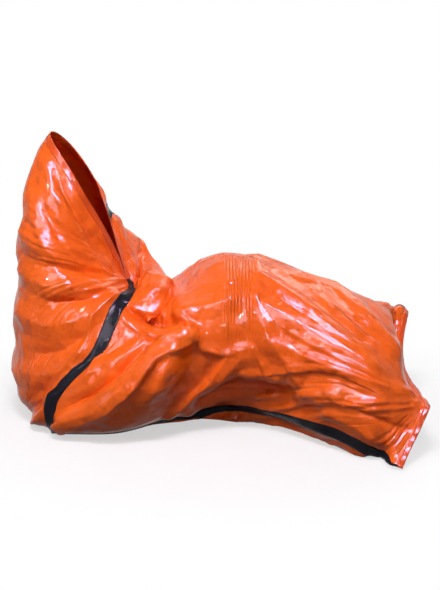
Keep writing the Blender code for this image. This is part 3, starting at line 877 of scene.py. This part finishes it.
def filmPiece(name, columns, node):
    part = filmGrid[:, columns]
    obj = addMesh(name, part.reshape(-1, 3), gridFaces(*part.shape[:2], closed=False))
    for key, values in filmDetails.items():
        values = values[:, columns].reshape(-1, values.shape[-1])
        kind, field = ("FLOAT_VECTOR", "vector") if values.shape[1] == 3 else ("FLOAT", "value")
        layer = obj.data.attributes.new(key, kind, "POINT")
        layer.data.foreach_set(field, values.astype(np.float32).ravel())
    return finished(obj, orangeFilm, node)


# a closed strip between two grids of the same size
def strip(name, inner, outer, material, node):
    height, width = inner.shape[:2]
    layer = height * width
    sheet = gridFaces(height, width, closed=False)
    faces = [face[::-1] for face in sheet] + [tuple(i + layer for i in face) for face in sheet]
    index = np.arange(layer).reshape(height, width)
    sides = (index[0, :-1], index[:-1, -1], index[-1, :0:-1], index[:0:-1, 0])
    edge = np.concatenate(sides).tolist()
    for a, b in zip(edge, edge[1:] + edge[:1]):
        faces.append((a, b, b + layer, a + layer))
    obj = addMesh(name, np.concatenate([inner.reshape(-1, 3), outer.reshape(-1, 3)]), faces)
    return finished(obj, material, node)


bandValues = dict(
    width=0.036,
    wall=0.0012,
    lift=0.0007,              # above the film
    across=9,                 # points from edge to edge
    steadyRows=7,             # the seam's way is a mean over this many rows on both sides
    steadyColumns=3,
)


# the strip's places on the film, square to the seam, so that it is equally wide all along
def bandGrid(seam):
    rows, columns = filmGrid.shape[:2]
    corners = [tuple(p) for p in filmGrid.reshape(-1, 3)]
    film = BVHTree.FromPolygons(corners, gridFaces(rows, columns))
    path = filmGrid[:, seam]
    reach = bandValues["steadyRows"]
    padded = np.pad(path, ((reach, reach), (0, 0)), mode="edge")
    along = unit(padded[2 * reach:] - padded[:-2 * reach])
    ways = np.array([filmOutward[max(row - reach, 0):row + reach + 1, seam].mean(axis=0)
                     for row in range(rows)])
    across = unit(np.cross(unit(ways), along))
    beside = bandValues["steadyColumns"]
    columnWay = filmGrid[:, (seam + beside) % columns] - filmGrid[:, (seam - beside) % columns]
    across *= np.sign(np.sum(across * columnWay, axis=1))[:, None]
    offsets = np.linspace(-bandValues["width"] / 2, bandValues["width"] / 2, bandValues["across"])
    points = np.zeros((rows, len(offsets), 3))
    normals = np.zeros_like(points)
    for k, offset in enumerate(offsets):
        for row, place in enumerate(path + across * offset):
            found, normal, _, _ = film.find_nearest(Vector(place))
            points[row, k] = found
            normals[row, k] = normal
    normals *= np.sign(np.sum(normals * unit(ways)[:, None], axis=2))[..., None]
    return points, unit(normals)


def bandPiece(name, seam, node):
    points, normals = bandGrid(seam)
    inner = points + normals * bandValues["lift"]
    outer = inner + normals * bandValues["wall"]
    keepAbove(inner, 0)
    keepAbove(outer, 0)
    return strip(name, inner, outer, blackBand, node)


hemValues = dict(
    width=0.020,
    wall=0.0028,
    rows=7,
    filmRows=24,              # the film's rows that the hem can lie on
)


def hemPiece(name, columns, node):
    rows = hemValues["filmRows"]
    lines = np.swapaxes(filmGrid[:rows][:, columns], 0, 1)
    ways = np.swapaxes(filmOutward[:rows][:, columns], 0, 1)
    points, normals = [], []
    for line, way in zip(lines, ways):
        lengths = lengthsAlong(line)
        wanted = np.linspace(0, min(hemValues["width"], lengths[-1]), hemValues["rows"])
        points.append(interpolated(wanted, lengths, line))
        normals.append(interpolated(wanted, lengths, way))
    points = np.swapaxes(np.array(points), 0, 1)
    normals = unit(np.swapaxes(np.array(normals), 0, 1))
    half = normals * (hemValues["wall"] / 2)
    return strip(name, points - half, points + half, doubledFilm, node)


weldValues = dict(
    width=0.012,
    wall=0.0030,
    ripple=0.0022,
    rippleSize=0.020,
    overlap=0.2,              # the share of its width that lies on the film
    rows=5,
    steadyRows=3,
    lowest=0.0004,
)


def weldPiece():
    line = filmGrid[-1, :farSeam + 1]
    onward = unit(line - filmGrid[-1 - weldValues["steadyRows"], :farSeam + 1])
    across = unit(np.gradient(line, axis=0))
    up = unit(np.cross(onward, across))
    shares = np.linspace(-weldValues["overlap"], 1, weldValues["rows"])
    points = line[None] + onward[None] * (shares * weldValues["width"])[:, None, None]
    ripple = np.array([[noise.noise(Vector(p) / weldValues["rippleSize"]) for p in row]
                       for row in points])
    points = points + up[None] * (ripple * weldValues["ripple"])[..., None]
    half = up[None] * weldValues["wall"] / 2
    inner, outer = points - half, points + half
    keepAbove(inner, 0)
    keepAbove(outer, weldValues["lowest"])
    return strip("footWeld", inner, outer, doubledFilm, "foot_weld")


frontPart = np.arange(0, farSeam + 1)
backPart = np.append(np.arange(farSeam, filmGrid.shape[1]), 0)
frontFilm = filmPiece("frontFilm", frontPart, "front_film")
backFilm = filmPiece("backFilm", backPart, "back_film")
bandPiece("nearSideBand", 0, "near_side_band")
bandPiece("farSideBand", farSeam, "far_side_band")
hemPiece("hoodHem", backPart, "hood_hem")
hemPiece("chestHem", frontPart, "chest_hem")
weldPiece()
print("pieces made")

# floor, light and world
studio = dict(
    floorFinish=dict(colour=(0.88, 0.88, 0.88), roughness=0.9, specular=0.1),
    floorLighting=(0.08, 0.075, 0.075),   # the floor's colour for the light that it throws back
    floorReach=30,            # metres each way
    floorHeight=-0.0015,
    middle=(0.37, -0.02, 0),  # of the bag, on the floor
    whiteShare=0.55,          # how much of the seen floor is plain white beside the bag
    clearFrom=0.45,           # metres from the bag's middle from which it fades to white
    clearTo=0.90,
    worldColour=(0.93, 0.95, 1.0),
    worldStrength=0.13,
    lampAim=(0.35, 0, 0.25),
)


# 1 for camera, glossy and transmission rays, 0 for the rays that light a surface
def seenDirectly(tree):
    path = addNode(tree, "LightPath").outputs
    either = mathOf(tree, "MAXIMUM", path["Is Camera Ray"], path["Is Glossy Ray"])
    return mathOf(tree, "MAXIMUM", either, path["Is Transmission Ray"])


def mixed(tree, share, first, second):
    mix = addNode(tree, "MixShader")
    for socket, source in zip(mix.inputs, (share, first, second)):
        tree.links.new(source, socket)
    return mix.outputs[0]


def makeFloor():
    far, height = studio["floorReach"], studio["floorHeight"]
    corners = [(-far, -far, height), (far, -far, height), (far, far, height), (-far, far, height)]
    floor = addMesh("floor", corners, [(0, 1, 2, 3)])
    material, shader = newMaterial("paleFloor", studio["floorFinish"])
    tree = material.node_tree
    place = addNode(tree, "TexCoord").outputs["Object"]
    away = vectorOf(tree, "DISTANCE", place, studio["middle"]).outputs["Value"]
    fade = addNode(tree, "MapRange", interpolation_type="SMOOTHSTEP",
                   From_Min=studio["clearFrom"], From_Max=studio["clearTo"],
                   To_Min=studio["whiteShare"], To_Max=1.0)
    tree.links.new(away, fade.inputs["Value"])
    dim = addNode(tree, "BsdfDiffuse", Color=(*studio["floorLighting"], 1))
    solid = mixed(tree, seenDirectly(tree), dim.outputs[0], shader.outputs[0])
    shown = mathOf(tree, "MULTIPLY", fade.outputs["Result"], seenDirectly(tree))
    white = addNode(tree, "Emission").outputs[0]
    surface = mixed(tree, shown, solid, white)
    tree.links.new(surface, tree.nodes["Material Output"].inputs["Surface"])
    floor.data.materials.append(material)


def makeWorld():
    world = bpy.data.worlds.new("paleRoom")
    world.use_nodes = True
    tree = world.node_tree
    ambient = tree.nodes["Background"]
    ambient.inputs["Color"].default_value = (*studio["worldColour"], 1)
    ambient.inputs["Strength"].default_value = studio["worldStrength"]
    white = addNode(tree, "Background").outputs[0]
    shown = mixed(tree, seenDirectly(tree), ambient.outputs[0], white)
    tree.links.new(shown, tree.nodes["World Output"].inputs["Surface"])
    bpy.context.scene.world = world


# a lamp with glossOnly shows in the film's shine and adds no light to its colour
lamps = dict(
    keyLamp=dict(place=(0.6, -1.6, 3.1), size=(1.0, 0.5), power=86, colour=(1.0, 0.93, 0.98)),
    sheenLamp=dict(place=(0.85, -1.0, 3.2), size=(0.8, 1.9), power=560,
                   colour=(0.84, 0.58, 1.0), glossOnly=True),
    glintLamp=dict(place=(-1.2, -2.3, 2.5), size=(0.16, 0.16), power=20, colour=(1.0, 0.97, 0.92)),
    lowGlintLamp=dict(place=(1.6, -2.9, 1.6), size=(0.16, 0.16), power=10, colour=(1.0, 0.95, 1.0)),
    highGlintLamp=dict(place=(0.1, -2.6, 3.2), size=(0.14, 0.14), power=15,
                       colour=(1.0, 0.95, 0.82), glossOnly=True),
    footGlintLamp=dict(place=(1.9, -1.7, 2.9), size=(0.14, 0.14), power=15,
                       colour=(1.0, 0.95, 0.85), glossOnly=True),
    backGlintLamp=dict(place=(-2.0, -1.5, 2.3), size=(0.14, 0.14), power=15,
                       colour=(1.0, 0.95, 0.85), glossOnly=True),
    frontGlintLamp=dict(place=(0.5, -3.2, 1.6), size=(0.14, 0.14), power=13,
                        colour=(1.0, 0.95, 0.88), glossOnly=True),
    leftLamp=dict(place=(-2.4, -1.9, 0.9), size=(0.22, 1.3), power=8, colour=(0.92, 0.88, 1.0)),
    trunkLamp=dict(place=(-0.46, -2.53, 2.48), size=(1.4, 1.5), power=190,
                   colour=(0.88, 0.78, 1.0), glossOnly=True),
    backLamp=dict(place=(0.8, 2.8, 2.2), size=(1.8, 1.0), power=42, colour=(1.0, 0.97, 0.97)),
    hoodLamp=dict(place=(-1.0, -1.3, 3.2), size=(0.20, 0.20), power=12,
                  colour=(1.0, 0.96, 0.90), glossOnly=True),
)


def makeLamp(name, values):
    data = bpy.data.lights.new(name, "AREA")
    data.shape = "RECTANGLE"
    data.size, data.size_y = values["size"]
    data.energy = values["power"]
    data.color = values["colour"]
    lamp = bpy.data.objects.new(name, data)
    bpy.context.scene.collection.objects.link(lamp)
    lamp.location = values["place"]
    lamp.visible_diffuse = not values.get("glossOnly", False)
    aim = Vector(studio["lampAim"]) - Vector(values["place"])
    lamp.rotation_euler = aim.to_track_quat("-Z", "Y").to_euler()


makeFloor()
makeWorld()
for lampName, lampValues in lamps.items():
    makeLamp(lampName, lampValues)
bpy.context.scene.view_settings.view_transform = "Standard"
print("studio lit")
